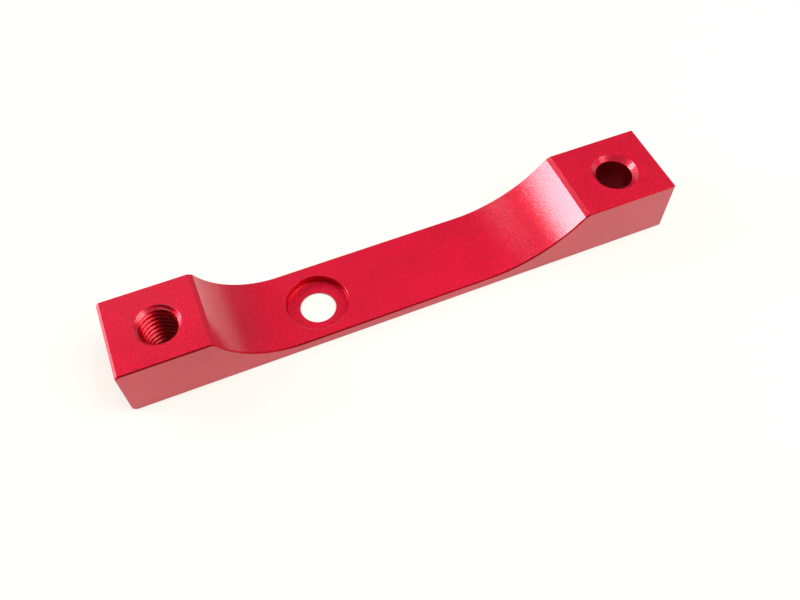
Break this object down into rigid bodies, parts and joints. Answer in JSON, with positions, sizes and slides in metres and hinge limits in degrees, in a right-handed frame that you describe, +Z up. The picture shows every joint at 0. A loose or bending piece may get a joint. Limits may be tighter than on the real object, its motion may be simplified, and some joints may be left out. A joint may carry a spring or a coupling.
{
  "type": "adapter bar",
  "caption": "Milled aluminium adapter bar: a tall block at each end of a thin web, with a tapped hole, a counterbored hole and a plain countersunk hole.",
  "frame": {"origin": "centre of the footprint, on the flat underside", "axes": "+X along the bar, from the block with the tapped hole to the block with the plain hole; +Y across the bar, away from the side that the hole line is nearer to; +Z up, from the underside to the block tops"},
  "size_m": [0.134, 0.02, 0.0147],
  "materials": {
    "red_anodised_aluminium": "bead-blasted, red anodised, satin"
  },
  "bodies": {
    "root": {"adapter_bar": "red_anodised_aluminium"}
  },
  "joints": []
}
